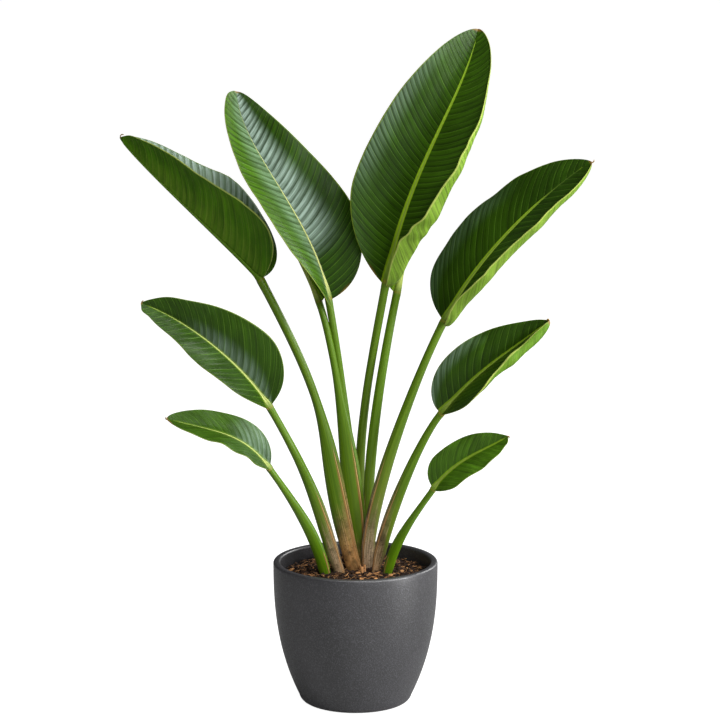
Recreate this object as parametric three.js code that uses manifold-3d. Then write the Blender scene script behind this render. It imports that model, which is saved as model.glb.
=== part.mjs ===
// A potted bird of paradise plant: ten leaves on long channelled stalks, standing in
// bark soil in a round charcoal planter.
// Millimetres, +Z up, x to the right, y away from the front, origin at the centre of the pot's base.
import * as THREE from 'three';
import { mergeVertices } from 'three/addons/utils/BufferGeometryUtils.js';
import Module from 'manifold-3d';

const wasm = await Module();
wasm.setup();

const GAP = 0.4; // clearance kept between pieces that touch
const WELD = 1e-4; // vertices closer than this are one

const POT = {
  height: 245, rimRadius: 140, wall: 12, lip: 4, floor: 14, baseRadius: 80, heelRadius: 97, heelHeight: 13,
  swell: 2.6, wallSteps: 8, heelSteps: 4, lipSteps: 3, sides: 48,
};
const SOIL = {
  edge: 222, mound: 12, rings: 8, ripple: 1.5, chips: 34, seed: 11, chipMin: 5, chipMax: 11, clearOfStalks: 9,
};
const STALK = { sides: 8, step: 32, buried: 38, flat: 0.12, channel: 0.8, turnFrom: 0.45 };
const RIB = { start: 0.62, end: 0.9, fade: 1.3, neckBlend: 0.12, sink: 0.35, groove: 0.7 };
const BLADE = { thickness: 1.1, rowStep: 25, crowd: 0.75, tipRow: 0.96, least: 1.4, soft: 0.35 };
const STUB = { at: [12, -30], radius: 6.5, top: 246, bottom: 214, sides: 9 };

const COLOUR = {
  blade: 0x24511f, stalk: 0x6f9a3c, soil: 0x4a3020, pot: 0x3f4144, stub: 0xa07a4c,
};

// Half a blade, seen from its upper face: width in mm, the place of its widest point along the rib,
// how full it is below and above that point, its fold up from the rib in degrees, how much more it
// closes at the base, and how far its edge leans back (-) or on (+) at the base and at the tip.
// A larger point makes a sharper tip.
function half(width, widest, below, above, fold, close, leanBase, leanTip, more = {}) {
  const plain = { point: 0.6, curl: 0, creaseBase: 0.6, creaseTip: 0.6, wave: 2, waves: 3, phase: 0 };
  return { width, widest, below, above, fold, close, leanBase, leanTip, ...plain, ...more };
}

// The stalk runs as one curve from foot past rise and bend to neck, and the rib goes on from neck
// past arch to tip. roll turns the blade's upper face from the front (0) to the right (90) or left (-90).
// opens is the side that the stalk's channel faces at the foot: 1 right, -1 left.
// girth holds half the stalk's width at the foot, at the sheath and at the neck, then the sheath's
// place along the stalk and the length in which it tapers off.
const LEAVES = {
  left_upper: {
    foot: [0, -11], rise: [-65, -17, 494], bend: [-29, 0, 480], neck: [-159, 12, 726],
    arch: [-384, 58, 932], tip: [-397, 80, 958], lead: 0.06, roll: 78, twist: 0, opens: 1,
    girth: [15.5, 18.5, 7.4, 0.14, 0.5], columns: 4,
    left: half(104, 0.32, 1.1, 1.16, 66, 0, 0.03, -0.32, { point: 0.66 }),
    right: half(96, 0.47, 0.85, 0.85, 50, 0, -0.45, 0.45, { point: 0.87 }),
  },
  left_tall: {
    foot: [13, 59], rise: [-1, 52, 378], bend: [-20, 30, 540], neck: [-45, 15, 692],
    arch: [-194, 10, 946], tip: [-199, 60, 1037], lead: 0.39, roll: 36, twist: -20, opens: 1,
    girth: [7, 8, 6.2, 0.2, 0.5], columns: 4,
    left: half(93, 0.36, 0.38, 1.05, 33, 20, -0.35, 0.3),
    right: half(92, 0.27, 0.42, 1.15, 30, 10, 0.3, 0.1, { phase: 1 }),
  },
  right_tall: {
    foot: [20, 78], rise: [-11, 72, 392], bend: [20, 32, 545], neck: [51, 20, 719],
    arch: [182, 5, 1030], tip: [204, 40, 1143], lead: 0.45, roll: -17, twist: 8, opens: -1,
    girth: [7, 8.5, 6.9, 0.2, 0.6], columns: 6,
    left: half(108, 0.22, 0.55, 2, 35, 15, 0.6, 0),
    right: half(110, 0.38, 0.44, 1.2, 28, 0, -0.35, 0, { curl: 125, creaseBase: 0.46, creaseTip: 1 }),
  },
  left_back: {
    foot: [11, 23], rise: [-1, 20, 350], bend: [-32, 0, 609], neck: [-61, 24, 685],
    arch: [-152, 110, 838], tip: [-166, 190, 905], lead: 0.3, roll: 120, twist: 0, opens: 1,
    girth: [8, 20, 6, 0.22, 0.5], columns: 3,
    left: half(58, 0.35, 0.6, 1.4, 50, 0, 0.2, 0.2),
    right: half(58, 0.35, 0.6, 1.4, 50, 0, 0.2, 0.2, { phase: 1 }),
  },
  right_back: {
    foot: [22, 41], rise: [12, 42, 369], bend: [41, 16, 564], neck: [70, 34, 700],
    arch: [112, 150, 860], tip: [135, 230, 935], lead: 0.3, roll: -130, twist: 0, opens: -1,
    girth: [8, 9.6, 6.6, 0.2, 0.9], columns: 3,
    left: half(54, 0.35, 0.6, 1.4, 50, 0, 0.2, 0.2),
    right: half(54, 0.35, 0.6, 1.4, 50, 0, 0.2, 0.2, { phase: 1 }),
  },
  right_upper: {
    foot: [19, 6], rise: [12, 6, 324], bend: [101, 12, 560], neck: [148, 20, 652],
    arch: [296.5, 0, 862], tip: [390, -20, 929], lead: 0.31, roll: -54, twist: 20, opens: -1,
    girth: [12, 13, 6.8, 0.13, 0.75], columns: 5,
    left: half(86, 0.23, 1.1, 2.14, 12, 0, -0.24, 0.19, { point: 0.85 }),
    right: half(81, 0.38, 0.34, 2.3, 14, -4, -0.3, 0.2, { curl: 95, creaseBase: 0.68, creaseTip: 0.8 }),
  },
  right_middle: {
    foot: [33, -26], rise: [45, -28, 312], bend: [108, -50, 468], neck: [142, -62, 511],
    arch: [252, -80, 615], tip: [319, -100, 676], lead: 0.5, roll: -41, twist: 12, opens: -1,
    girth: [8, 12, 6, 0.13, 0.8], columns: 8,
    left: half(59, 0.32, 0.66, 2.13, 31, 10, -0.45, -0.17, { point: 0.79 }),
    right: half(103, 0.15, 0.95, 2.47, 46.5, -4, 0.39, 0.13, {
      point: 0.39, curl: 160, creaseBase: 1.3, creaseTip: 0.77,
    }),
  },
  right_small: {
    foot: [53, -30], rise: [62, -41, 284], bend: [99, -70, 340], neck: [129, -85, 387],
    arch: [212, -105, 456], tip: [252, -120, 486], lead: 0.45, roll: -28, twist: 6, opens: -1,
    girth: [9, 10, 5.2, 0.08, 0.8], columns: 3,
    left: half(36.6, 0.29, 1, 3.34, 28, 10, -0.45, -0.03, { point: 0.91 }),
    right: half(38, 0.22, 0.85, 2.64, 27, 10, 0.03, 0.34, { point: 0.86, phase: 1 }),
  },
  left_middle: {
    foot: [-26, -24], rise: [-64, -34, 350], bend: [-71, -55, 395], neck: [-142, -68, 523],
    arch: [-278, -75, 674], tip: [-353, -85, 702], lead: 0.3, roll: 23, twist: -9, opens: 1,
    girth: [11, 13, 6.2, 0.12, 0.85], columns: 4,
    left: half(51, 0.28, 0.64, 1.65, 25, 15, 0.5, 0.45, { point: 0.75, wave: 3, phase: 2.5 }),
    right: half(76.7, 0.31, 1.1, 1.31, 27, 8, -0.26, 0.32, { point: 0.85 }),
  },
  left_small: {
    foot: [-50, -32], rise: [-62, -44, 299], bend: [-118, -75, 385], neck: [-142, -88, 423],
    arch: [-224, -105, 488.6], tip: [-311, -120, 514.6], lead: 0.42, roll: 44, twist: 8, opens: 1,
    girth: [11, 12, 5.6, 0.06, 0.85], columns: 3,
    left: half(43.6, 0.29, 0.66, 4, 32, 14, 0.3, -0.45, { point: 0.35, wave: 2.5, phase: 2.5 }),
    right: half(35.7, 0.34, 1.04, 2.67, 27, 12, -0.45, 0.45, { point: 0.68 }),
  },
};

const radians = THREE.MathUtils.degToRad;
const smooth = (x) => THREE.MathUtils.smoothstep(x, 0, 1);
const mix = THREE.MathUtils.lerp;

// Repeatable random numbers from 0 to 1.
function randomFrom(seed) {
  let state = seed;
  return () => {
    state = (state * 1664525 + 1013904223) % 4294967296;
    return state / 4294967296;
  };
}

// One closed geometry of shared vertices, facing out.
function closed(points, faces) {
  const raw = new THREE.BufferGeometry();
  raw.setAttribute('position', new THREE.Float32BufferAttribute(points.flatMap((p) => [p.x, p.y, p.z]), 3));
  raw.setIndex(faces.flat());
  const geometry = mergeVertices(raw, WELD);
  const index = geometry.index.array;
  const kept = [];
  for (let i = 0; i < index.length; i += 3) {
    const [a, b, c] = index.slice(i, i + 3);
    if (a !== b && b !== c && c !== a) kept.push([a, b, c]);
  }
  const out = volume(geometry, kept) < 0 ? kept.map(([a, b, c]) => [a, c, b]) : kept;
  geometry.setIndex(out.flat());
  return geometry;
}

function volume(geometry, faces) {
  const position = geometry.attributes.position;
  const corner = (i) => new THREE.Vector3().fromBufferAttribute(position, i);
  return faces.reduce((sum, [a, b, c]) => sum + corner(a).dot(corner(b).cross(corner(c))) / 6, 0);
}

function toSolid(geometry) {
  const vertProperties = new Float32Array(geometry.attributes.position.array);
  const triVerts = new Uint32Array(geometry.index.array);
  return new wasm.Manifold(new wasm.Mesh({ numProp: 3, vertProperties, triVerts }));
}

function toGeometry(solid) {
  const mesh = solid.getMesh();
  const points = [];
  for (let i = 0; i < mesh.vertProperties.length; i += mesh.numProp) {
    points.push(new THREE.Vector3(...mesh.vertProperties.slice(i, i + 3)));
  }
  const faces = [];
  for (let i = 0; i < mesh.triVerts.length; i += 3) faces.push([...mesh.triVerts.slice(i, i + 3)]);
  return closed(points, faces);
}

// A profile of [radius, height] points, from the axis back to the axis, turned about Z.
function turned(profile, sides) {
  const points = profile.map(([r, z]) => new THREE.Vector2(r, z));
  const lathe = new THREE.LatheGeometry(points, sides);
  lathe.rotateX(Math.PI / 2);
  const position = lathe.attributes.position;
  const corners = [];
  for (let i = 0; i < position.count; i += 1) {
    corners.push(new THREE.Vector3().fromBufferAttribute(position, i));
  }
  const faces = [];
  for (let i = 0; i < lathe.index.count; i += 3) faces.push([...lathe.index.array.slice(i, i + 3)]);
  return closed(corners, faces);
}

// The pot's outer radius swells from the heel at its base to the rim.
function potRadius(z) {
  const down = (POT.height - z) / (POT.height - POT.heelHeight);
  return POT.rimRadius - (POT.rimRadius - POT.heelRadius) * Math.max(down, 0) ** POT.swell;
}

function potGeometry() {
  const lipHeight = POT.height - POT.lip;
  const heel = new THREE.QuadraticBezierCurve(
    new THREE.Vector2(POT.baseRadius, 0),
    new THREE.Vector2(POT.heelRadius - 3, 0.5),
    new THREE.Vector2(POT.heelRadius, POT.heelHeight),
  );
  const profile = [[0, 0], ...heel.getPoints(POT.heelSteps).map((p) => [p.x, p.y])];
  for (let i = 1; i < POT.wallSteps; i += 1) {
    const z = mix(POT.heelHeight, lipHeight, i / POT.wallSteps);
    profile.push([potRadius(z), z]);
  }
  const inset = POT.rimRadius - POT.wall + POT.lip;
  for (const [centre, start] of [[POT.rimRadius - POT.lip, 0], [inset, Math.PI / 2]]) {
    for (let i = 0; i <= POT.lipSteps; i += 1) {
      const angle = start + (Math.PI / 2) * (i / POT.lipSteps);
      profile.push([centre + POT.lip * Math.cos(angle), lipHeight + POT.lip * Math.sin(angle)]);
    }
  }
  for (let i = POT.wallSteps - 1; i >= 1; i -= 1) {
    const z = mix(POT.floor, lipHeight, i / POT.wallSteps);
    profile.push([potRadius(z) - POT.wall, z]);
  }
  profile.push([potRadius(POT.floor) - POT.wall, POT.floor], [0, POT.floor]);
  return turned(profile, POT.sides);
}

// The soil's surface: a low mound with small ripples.
function soilHeight(x, y) {
  const r = Math.hypot(x, y) / (POT.rimRadius - POT.wall);
  const bumps = Math.sin(x * 0.16 + 1.3) * Math.cos(y * 0.19) + 0.7 * Math.sin((x + y) * 0.29);
  return SOIL.edge + SOIL.mound * (1 - r * r) + SOIL.ripple * bumps * (1 - r ** 8);
}

function soilBed() {
  const profile = [[0, POT.floor + GAP]];
  for (let i = 0; i <= POT.wallSteps; i += 1) {
    const z = mix(POT.floor + GAP, SOIL.edge, i / POT.wallSteps);
    profile.push([potRadius(z) - POT.wall - 2 * GAP, z]);
  }
  const edge = profile.at(-1)[0];
  for (let i = SOIL.rings - 1; i >= 0; i -= 1) profile.push([(edge * i) / SOIL.rings, SOIL.edge]);
  const bed = turned(profile, POT.sides);
  const position = bed.attributes.position;
  for (let i = 0; i < position.count; i += 1) {
    const [x, y] = [position.getX(i), position.getY(i)];
    const isTop = position.getZ(i) > SOIL.edge - 0.01 && Math.hypot(x, y) < edge - 1;
    if (isTop) position.setZ(i, soilHeight(x, y));
  }
  return toSolid(bed);
}

// A piece of bark: a tapered block lying half sunk in the soil.
function barkChip(random) {
  const length = mix(SOIL.chipMin, SOIL.chipMax, random());
  const chip = new THREE.BoxGeometry(length * 2, length * (0.7 + 0.5 * random()), length * 0.55);
  chip.deleteAttribute('normal');
  chip.deleteAttribute('uv');
  const block = mergeVertices(chip, WELD);
  const position = block.attributes.position;
  for (let i = 0; i < position.count; i += 1) {
    const taper = position.getX(i) > 0 ? 0.45 + 0.4 * random() : 1;
    position.setY(i, position.getY(i) * taper);
  }
  const room = POT.rimRadius - POT.wall - 2 * SOIL.chipMax - 2;
  const angle = 2 * Math.PI * random();
  const out = room * Math.sqrt(mix(0.12, 1, random()));
  const [x, y] = [out * Math.cos(angle), out * Math.sin(angle)];
  block.rotateX((random() - 0.5) * 0.7);
  block.rotateY((random() - 0.5) * 0.5);
  block.rotateZ(2 * Math.PI * random());
  block.translate(x, y, soilHeight(x, y) + 0.6);
  return { solid: toSolid(block), x, y };
}

function stalkCurve(leaf) {
  const [x, y] = leaf.foot;
  const foot = new THREE.Vector3(x, y, soilHeight(x, y));
  const points = [leaf.rise, leaf.bend, leaf.neck].map((p) => new THREE.Vector3(...p));
  return new THREE.CubicBezierCurve3(foot, ...points);
}

function ribCurve(leaf) {
  const fixed = [leaf.bend, leaf.neck, leaf.arch, leaf.tip];
  const [bend, neck, arch, tip] = fixed.map((p) => new THREE.Vector3(...p));
  const lead = neck.clone().sub(bend).setLength(neck.distanceTo(tip) * leaf.lead);
  return new THREE.CubicBezierCurve3(neck, neck.clone().add(lead), arch, tip);
}

function bezierAt(curve, t) {
  const [a, b, c, d] = [curve.v0, curve.v1, curve.v2, curve.v3];
  const s = 1 - t;
  const at = (k) => s ** 3 * a[k] + 3 * s * s * t * b[k] + 3 * s * t * t * c[k] + t ** 3 * d[k];
  const slope = (k) => s * s * (b[k] - a[k]) + 2 * s * t * (c[k] - b[k]) + t * t * (d[k] - c[k]);
  const point = new THREE.Vector3(at('x'), at('y'), at('z'));
  const along = new THREE.Vector3(slope('x'), slope('y'), slope('z')).normalize();
  return { point, along };
}

// The directions at a point of a stalk or rib: along it, up from the blade's face, and across.
function directions(along, rollDegrees) {
  const front = new THREE.Vector3(0, -1, 0);
  front.addScaledVector(along, -front.dot(along)).normalize();
  const aside = along.clone().cross(front);
  const roll = radians(rollDegrees);
  const up = front.multiplyScalar(Math.cos(roll)).addScaledVector(aside, Math.sin(roll));
  return { along, up, across: along.clone().cross(up) };
}

// Half the stalk's width in the fan of leaves, swelling into its sheath near the foot.
function stalkWidth(leaf, t) {
  const [foot, sheath, neck, top, taper] = leaf.girth;
  return t < top ? mix(foot, sheath, smooth(t / top)) : mix(sheath, neck, smooth((t - top) / taper));
}

// Places along the rib for the rows of a blade, closer together near its base and its tip.
function rowPlaces(leaf) {
  const last = Math.ceil(ribCurve(leaf).getLength() / BLADE.rowStep);
  const places = [];
  for (let i = 0; i <= last; i += 1) {
    const even = i / last;
    places.push(BLADE.tipRow * mix(even, (1 - Math.cos(Math.PI * even)) / 2, BLADE.crowd));
  }
  return places;
}

function ribWidth(leaf, u) {
  const neck = leaf.girth[2];
  const slim = mix(RIB.end, neck * RIB.start, (1 - u) ** RIB.fade);
  return slim + neck * (1 - RIB.start) * (1 - smooth(u / RIB.neckBlend));
}

// One ring of an oval section, with a channel along the side that the blade's face is on.
function ring(centre, frame, deep, wide, channel) {
  const corners = [];
  for (let i = 0; i < STALK.sides; i += 1) {
    const angle = (2 * Math.PI * i) / STALK.sides;
    const up = deep * Math.cos(angle) * (i === 0 ? channel : 1);
    const across = wide * Math.sin(angle);
    corners.push(centre.clone().addScaledVector(frame.up, up).addScaledVector(frame.across, across));
  }
  return corners;
}

// A stalk with its rib: one rod from under the soil to near the blade's tip, grown by extra all round.
function stalkRings(leaf, extra) {
  const curve = stalkCurve(leaf);
  const steps = Math.ceil(curve.getLength() / STALK.step);
  const rings = [];
  const foot = bezierAt(curve, 0);
  const sunk = foot.point.clone().addScaledVector(foot.along, -STALK.buried - extra);
  const width = stalkWidth(leaf, 0);
  const flat = (full) => Math.min(full, leaf.girth[2] + STALK.flat * full) + extra;
  rings.push(ring(sunk, directions(foot.along, 90 * leaf.opens), width + extra, flat(width), STALK.channel));
  for (let i = 0; i < steps; i += 1) {
    const t = i / steps;
    const { point, along } = bezierAt(curve, t);
    const turn = smooth((t - STALK.turnFrom) / (1 - STALK.turnFrom));
    const deep = stalkWidth(leaf, t);
    const frame = directions(along, mix(90 * leaf.opens, leaf.roll - 0.3 * leaf.twist, turn));
    rings.push(ring(point, frame, deep + extra, flat(deep), STALK.channel));
  }
  for (const u of rowPlaces(leaf).slice(0, -1)) {
    const { point, along } = bezierAt(ribCurve(leaf), u);
    const wide = ribWidth(leaf, u) + extra;
    const frame = directions(along, leaf.roll + leaf.twist * (u - 0.3));
    const sunkBy = RIB.sink * ribWidth(leaf, u) * smooth(u / RIB.neckBlend);
    const groove = mix(STALK.channel, RIB.groove, smooth(u / RIB.neckBlend));
    rings.push(ring(point.addScaledVector(frame.up, -sunkBy), frame, wide, wide, groove));
  }
  return rings;
}

// Rings joined into one closed rod with flat ends.
function rod(rings) {
  const sides = rings[0].length;
  const points = rings.flat();
  const faces = [];
  for (let k = 0; k + 1 < rings.length; k += 1) {
    for (let i = 0; i < sides; i += 1) {
      const [a, b] = [k * sides + i, k * sides + ((i + 1) % sides)];
      faces.push([a, b, b + sides], [a, b + sides, a + sides]);
    }
  }
  const last = (rings.length - 1) * sides;
  for (let i = 1; i + 1 < sides; i += 1) faces.push([0, i + 1, i], [last, last + i, last + i + 1]);
  return closed(points, faces);
}

// How far half a blade reaches from its rib at u along it.
function reach(side, u) {
  const low = Math.max(1 - u / side.widest, 0);
  const high = Math.max((u - side.widest) / (1 - side.widest), 0);
  return side.width * (1 - low * low) ** side.below * (1 - high ** side.above) ** side.point;
}

// One row of points across half a blade, from the rib out, with the upper face's normal at each.
function bladeRow(leaf, side, sign, u, isJoined) {
  const { point, along } = bezierAt(ribCurve(leaf), u);
  const { up, across } = directions(along, leaf.roll + leaf.twist * (u - 0.3));
  const inner = isJoined ? 0 : ribWidth(leaf, u) + GAP;
  const step = Math.max(reach(side, u) - inner, BLADE.least) / leaf.columns;
  const fold = side.fold + side.close * (1 - u) ** 4;
  const crease = mix(side.creaseBase, side.creaseTip, Math.sqrt(u));
  const lean = mix(side.leanBase, side.leanTip, u ** 0.6);
  const angleAt = (v) => radians(fold + side.curl * smooth((v - crease) / BLADE.soft + 0.5));
  const outAt = (v) => across.clone().multiplyScalar(sign * Math.cos(angleAt(v)))
    .addScaledVector(up, Math.sin(angleAt(v)));
  const normalAt = (v) => up.clone().multiplyScalar(Math.cos(angleAt(v)))
    .addScaledVector(across, -sign * Math.sin(angleAt(v)));
  const wave = side.wave * Math.sin(2 * Math.PI * side.waves * u + side.phase) * Math.sin(Math.PI * u);
  const row = [];
  let edge = point.clone().addScaledVector(outAt(0), inner);
  for (let j = 0; j <= leaf.columns; j += 1) {
    const v = j / leaf.columns;
    const normal = isJoined && j === 0 ? up.clone() : normalAt(v);
    row.push({ point: edge.clone().addScaledVector(normal, wave * v * v), normal });
    const middle = (j + 0.5) / leaf.columns;
    edge = edge.addScaledVector(outAt(middle), step).addScaledVector(along, lean * step);
  }
  return row;
}

// A sheet of points and triangles made a closed solid, split alike on both faces.
function thickened(sheet, faces) {
  const count = sheet.length;
  const shifted = (way) => sheet.map(({ point, normal }) => (
    point.clone().addScaledVector(normal, (way * BLADE.thickness) / 2)));
  const edges = new Map();
  for (const [a, b, c] of faces) {
    for (const [from, to] of [[a, b], [b, c], [c, a]]) {
      if (!edges.delete(`${to} ${from}`)) edges.set(`${from} ${to}`, [from, to]);
    }
  }
  const under = faces.map(([a, b, c]) => [a + count, c + count, b + count]);
  const rim = [...edges.values()].flatMap(([a, b]) => [[b, a, a + count], [b, a + count, b + count]]);
  return closed([...shifted(1), ...shifted(-1)], [...faces, ...under, ...rim]);
}

// A blade: two half sheets with a slot for the rib between them, joined above the rib's end.
function bladeGeometry(leaf) {
  const places = [...rowPlaces(leaf), 1];
  const sheet = [];
  const faces = [];
  const width = leaf.columns + 1;
  const spine = new Map();
  for (const [sign, side] of [[-1, leaf.left], [1, leaf.right]]) {
    const grid = places.map((u, i) => {
      const isJoined = u >= BLADE.tipRow;
      return bladeRow(leaf, side, sign, u, isJoined).map((corner, j) => {
        if (isJoined && j === 0 && spine.has(i)) return spine.get(i);
        sheet.push(corner);
        if (isJoined && j === 0) spine.set(i, sheet.length - 1);
        return sheet.length - 1;
      });
    });
    for (let i = 0; i + 1 < grid.length; i += 1) {
      for (let j = 0; j + 1 < width; j += 1) {
        const [a, b, c, d] = [grid[i][j], grid[i][j + 1], grid[i + 1][j + 1], grid[i + 1][j]];
        if (sign > 0) faces.push([a, b, c], [a, c, d]);
        else faces.push([a, c, b], [a, d, c]);
      }
    }
  }
  return thickened(sheet, faces);
}

function stubGeometry(extra) {
  const radius = STUB.radius + extra;
  const shape = turned([
    [0, STUB.bottom - extra], [radius * 0.9, STUB.bottom - extra], [radius, STUB.top - 14],
    [radius * 0.72, STUB.top - 4], [radius * 0.4, STUB.top + extra], [0, STUB.top + extra],
  ], STUB.sides);
  return shape.translate(...STUB.at, 0);
}

// The bed with its bark, and a plain hole for each stalk and for the old stub.
function soilGeometry() {
  const random = randomFrom(SOIL.seed);
  let soil = soilBed();
  for (let i = 0; i < SOIL.chips; i += 1) {
    const chip = barkChip(random);
    const feet = Object.values(LEAVES).map((leaf) => leaf.foot);
    const nearest = Math.min(...feet.map(([x, y]) => Math.hypot(chip.x - x, chip.y - y)));
    if (nearest > SOIL.chipMax + SOIL.clearOfStalks) soil = soil.add(chip.solid);
  }
  for (const leaf of Object.values(LEAVES)) {
    soil = soil.subtract(toSolid(rod(stalkRings(leaf, GAP).slice(0, 5))));
  }
  return toGeometry(soil.subtract(toSolid(stubGeometry(GAP))));
}

function named(name, geometry, color, roughness) {
  const mesh = new THREE.Mesh(geometry, new THREE.MeshStandardMaterial({ color, roughness, metalness: 0 }));
  mesh.name = name;
  return mesh;
}

const plant = new THREE.Group();
plant.add(named('pot', potGeometry(), COLOUR.pot, 0.6));
plant.add(named('soil', soilGeometry(), COLOUR.soil, 0.95));
plant.add(named('old_sheath_stub', stubGeometry(0), COLOUR.stub, 0.85));
for (const [name, leaf] of Object.entries(LEAVES)) {
  plant.add(named(`stalk_${name}`, rod(stalkRings(leaf, 0)), COLOUR.stalk, 0.5));
  plant.add(named(`blade_${name}`, bladeGeometry(leaf), COLOUR.blade, 0.4));
}

export default plant;
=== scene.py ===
import math
import random

import bpy
import numpy as np
from mathutils import Matrix, Vector, noise


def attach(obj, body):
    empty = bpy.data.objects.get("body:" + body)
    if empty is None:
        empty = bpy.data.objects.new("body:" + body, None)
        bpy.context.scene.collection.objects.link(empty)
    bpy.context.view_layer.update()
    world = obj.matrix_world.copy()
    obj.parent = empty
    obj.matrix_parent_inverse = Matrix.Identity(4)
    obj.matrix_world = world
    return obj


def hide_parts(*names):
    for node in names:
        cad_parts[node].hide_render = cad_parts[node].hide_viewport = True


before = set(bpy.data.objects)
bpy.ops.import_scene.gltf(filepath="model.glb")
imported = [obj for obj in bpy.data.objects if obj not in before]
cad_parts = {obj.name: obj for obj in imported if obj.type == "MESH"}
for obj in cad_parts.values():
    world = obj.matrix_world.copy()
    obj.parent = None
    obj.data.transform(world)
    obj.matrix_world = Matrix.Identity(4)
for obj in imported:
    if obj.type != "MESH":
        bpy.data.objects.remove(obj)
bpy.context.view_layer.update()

mm = 0.001
wholeTurn = 6.28  # the range of the random turns and phases, in radians


def clearSelection():
    if bpy.context.object and bpy.context.object.mode != "OBJECT":
        bpy.ops.object.mode_set(mode="OBJECT")
    bpy.ops.object.select_all(action="DESELECT")


def pick(*pieces):
    clearSelection()
    for piece in pieces:
        piece.select_set(True)
    bpy.context.view_layer.objects.active = pieces[0]


def smooth(x):  # 0 to 1 with a soft start and end
    x = np.clip(x, 0, 1)
    return x * x * (3 - 2 * x)


def mix(a, b, t):
    return a + (b - a) * t


def tone(red, green, blue):  # a screen colour as Blender's linear one
    channels = [((c / 255 + 0.055) / 1.055) ** 2.4 if c > 10 else c / 3294.6 for c in (red, green, blue)]
    return (*channels, 1)


def evenGrey(share):
    return (share, share, share, 1)


def joinAll(pieces, name):
    pick(*pieces)
    bpy.ops.object.join()
    piece = bpy.context.object
    piece.name = name
    bpy.ops.object.transform_apply(location=True, rotation=True, scale=True)
    return piece


def closeSeams(piece, outward=False):  # joins the long seam of a rolled sheet and closes its ends
    pick(piece)
    bpy.ops.object.mode_set(mode="EDIT")
    bpy.ops.mesh.select_all(action="SELECT")
    bpy.ops.mesh.remove_doubles(threshold=1e-6)
    bpy.ops.mesh.fill_holes(sides=0)
    if outward:
        bpy.ops.mesh.select_all(action="SELECT")
        bpy.ops.mesh.normals_make_consistent(inside=False)
    bpy.ops.object.mode_set(mode="OBJECT")


def extrudeRing(lift, scale, height):  # the next ring of a turned form, from the ring that is selected
    bpy.ops.mesh.extrude_region_move(TRANSFORM_OT_translate={"value": (0, 0, lift)})
    bpy.ops.transform.resize(value=(scale, scale, 1), center_override=(0, 0, height))


def closeTurned():  # a turned form is done: its faces point outwards and its place goes into its mesh
    bpy.ops.mesh.select_all(action="SELECT")
    bpy.ops.mesh.normals_make_consistent(inside=False)
    bpy.ops.object.mode_set(mode="OBJECT")
    bpy.ops.object.transform_apply(location=True)


def finishPiece(piece, materials, slot, *nodes):  # with no materials given, the piece keeps its own
    if materials:
        piece.data.materials.clear()
    for material in materials:
        piece.data.materials.append(material)
    pick(piece)
    bpy.ops.object.shade_smooth()
    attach(piece, "root")
    if nodes:
        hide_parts(*nodes)


def applyModifier(piece, kind, **settings):
    modifier = piece.modifiers.new(kind.title(), kind)
    for key, value in settings.items():
        setattr(modifier, key, value)
    pick(piece)
    bpy.ops.object.modifier_apply(modifier=modifier.name)


bench = {}  # holds the node tree of the material that is being made


def put(kind, inputs=None, **settings):
    made = bench["tree"].nodes.new(kind)
    for key, value in settings.items():
        setattr(made, key, value)
    for key, value in (inputs or {}).items():
        if isinstance(value, bpy.types.NodeSocket):
            bench["tree"].links.new(value, made.inputs[key])
        else:
            made.inputs[key].default_value = value
    return made


def newMaterial(name, **sockets):
    material = bpy.data.materials.new(name)
    material.use_nodes = True
    bench["tree"] = material.node_tree
    for key, value in sockets.items():
        shaderSocket(material, key).default_value = value
    return material


def shaderSocket(material, key):
    return material.node_tree.nodes["Principled BSDF"].inputs[key.replace("_", " ")]


def painted(material, **patterns):
    for key, value in patterns.items():
        material.node_tree.links.new(value, shaderSocket(material, key))
    return material


def blended(factor, first, second, mode="MIX"):
    made = put("ShaderNodeMix", {0: factor, 6: first, 7: second}, data_type="RGBA", blend_type=mode)
    return made.outputs[2]


def toned(colour, amount, darkest, lightest, share=1.0):  # the colour times a grey between the two
    grey = blended(amount, evenGrey(darkest), evenGrey(lightest))
    return blended(share, colour, grey, "MULTIPLY")


def maths(operation, first, second=0.0, third=0.0):
    return put("ShaderNodeMath", {0: first, 1: second, 2: third}, operation=operation).outputs[0]


def times(first, second):
    return maths("MULTIPLY", first, second)


def timesPlus(value, share, base):
    return maths("MULTIPLY_ADD", value, share, base)


def strayed(base, pattern, share):  # the base value, shifted up and down by a noise pattern
    return timesPlus(maths("SUBTRACT", pattern, 0.5), share, base)


def ranged(value, fromLow, fromHigh, toLow=0.0, toHigh=1.0):
    return put("ShaderNodeMapRange", {0: value, 1: fromLow, 2: fromHigh, 3: toLow, 4: toHigh},
               interpolation_type="SMOOTHSTEP").outputs[0]


def atBand(value, middle, full, none, most=1.0):  # most within full of the middle, 0 beyond none
    return ranged(maths("ABSOLUTE", maths("SUBTRACT", value, middle)), full, none, most, 0.0)


def cloud(scale, detail=3.0, rough=0.5, where=None, stretch=None):
    place = where or put("ShaderNodeTexCoord").outputs["Object"]
    if stretch:
        place = put("ShaderNodeMapping", {"Vector": place, "Scale": stretch}).outputs[0]
    made = put("ShaderNodeTexNoise", {"Vector": place, "Scale": scale, "Detail": detail, "Roughness": rough})
    return made.outputs["Fac"]


def reading(name):  # what keepReading left on the mesh
    return put("ShaderNodeAttribute", attribute_name=name).outputs["Fac"]


def bumps(height, strength, depth):
    return put("ShaderNodeBump", {"Height": height, "Strength": strength, "Distance": depth}).outputs[0]


camera = {"place": (0.0077, -4.845, 1.478), "pitch": 10.37, "lens": 146.46, "sensor": 36, "farthest": 100}


def addCamera():  # about five metres away, looking slightly down
    bpy.ops.object.camera_add(location=camera["place"], rotation=(math.radians(90 - camera["pitch"]), 0, 0))
    view = bpy.context.object
    view.data.sensor_width = camera["sensor"]
    view.data.lens = camera["lens"]
    view.data.clip_end = camera["farthest"]
    bpy.context.scene.camera = view


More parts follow.
